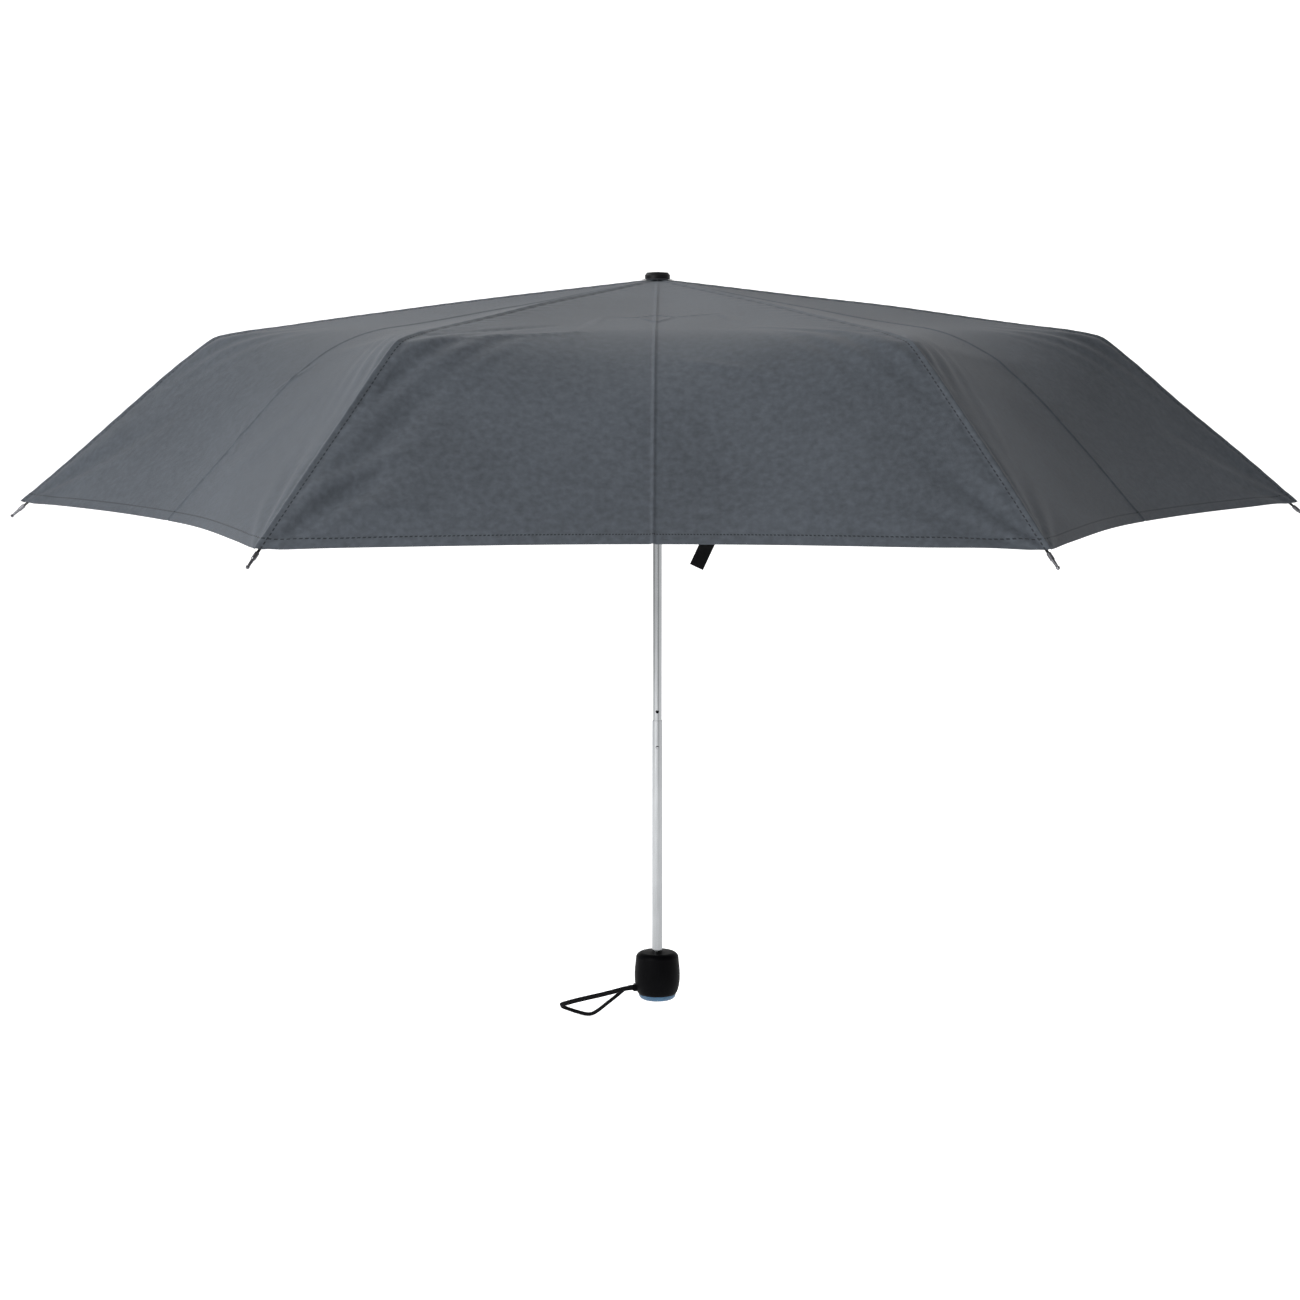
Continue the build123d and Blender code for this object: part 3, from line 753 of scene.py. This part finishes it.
def studio_floor():
    """A floor that sweeps up into a wall far behind the object."""
    line = [(FLOOR_FRONT, FLOOR_LEVEL), (-4.0, FLOOR_LEVEL), (0.0, FLOOR_LEVEL)]
    line.append((WALL_AT - WALL_BEND, FLOOR_LEVEL))
    for k in range(1, BEND_STEPS + 1):
        a = math.pi / 2 * k / BEND_STEPS
        y = WALL_AT - WALL_BEND + WALL_BEND * math.sin(a)
        line.append((y, FLOOR_LEVEL + WALL_BEND * (1 - math.cos(a))))
    line.append((WALL_AT, WALL_TOP))
    points, faces = [], []
    for y, z in line:
        points += [(-FLOOR_HALF_WIDE, y, z), (FLOOR_HALF_WIDE, y, z)]
    for i in range(len(line) - 1):
        faces.append((2 * i, 2 * i + 1, 2 * i + 3, 2 * i + 2))
    made = mesh_object("studio_floor", points, faces)
    made.data.materials.append(paper_material())


def area_light(name, place, aim, size, power):
    """A white rectangular light at a place, turned to its aim."""
    light = bpy.data.lights.new(name, "AREA")
    light.shape = "RECTANGLE"
    light.size, light.size_y = size
    light.energy = power
    made = bpy.data.objects.new(name, light)
    made.location = place
    made.rotation_euler = (Vector(aim) - Vector(place)).to_track_quat("-Z", "Y").to_euler()
    bpy.context.scene.collection.objects.link(made)


WORLD_DARK_TO, WORLD_PALE_FROM = 0.04, 0.12       # 0 is straight behind the camera, 1 straight ahead
WORLD_DARK, WORLD_STRENGTH = (0.12, 0.12, 0.13), 0.36


def studio_world():
    """Even pale surroundings, darker behind the camera."""
    world = bpy.data.worlds.new("studio")
    bpy.context.scene.world = world
    world.use_nodes = True
    tree = world.node_tree
    place = tree.nodes.new("ShaderNodeTexCoord")
    parts = tree.nodes.new("ShaderNodeSeparateXYZ")
    ramp_node = tree.nodes.new("ShaderNodeValToRGB")
    elements = ramp_node.color_ramp.elements
    elements[0].position, elements[0].color = WORLD_DARK_TO, (*WORLD_DARK, 1)
    elements[1].position, elements[1].color = WORLD_PALE_FROM, (*WHITE, 1)
    shift = tree.nodes.new("ShaderNodeMapRange")
    shift.inputs["From Min"].default_value = -1.0
    shift.inputs["From Max"].default_value = 1.0
    tree.links.new(place.outputs["Generated"], parts.inputs[0])
    tree.links.new(parts.outputs["Y"], shift.inputs["Value"])
    tree.links.new(shift.outputs["Result"], ramp_node.inputs["Fac"])
    background = tree.nodes["Background"]
    tree.links.new(ramp_node.outputs["Color"], background.inputs["Color"])
    background.inputs["Strength"].default_value = WORLD_STRENGTH


studio_floor()
studio_world()
area_light("key_left", (-1.35, -1.45, 1.25), (-0.1, 0, 0.45), (0.8, 0.8), 38)
area_light("top_back", (-0.5, 1.7, 2.4), (0, 0, 0.5), (2.4, 1.2), 38)


# ---- camera ----
def photo_camera():
    """The camera that was fitted to the object's tips, elbows, crown and handle."""
    elevation, azimuth, distance = math.radians(6.96), math.radians(0.57), 2.064
    aim = Vector((-0.0055, 0, 0.2673))
    level = distance * math.cos(elevation)
    back = Vector((level * math.sin(azimuth), -level * math.cos(azimuth), distance * math.sin(elevation)))
    data = bpy.data.cameras.new("camera")
    data.lens, data.sensor_width = 76.2, 36.0
    camera = bpy.data.objects.new("camera", data)
    camera.location = aim + back
    camera.rotation_euler = (-back).to_track_quat("-Z", "Y").to_euler()
    bpy.context.scene.collection.objects.link(camera)
    bpy.context.scene.camera = camera


photo_camera()
bpy.context.scene.view_settings.view_transform = "Standard"
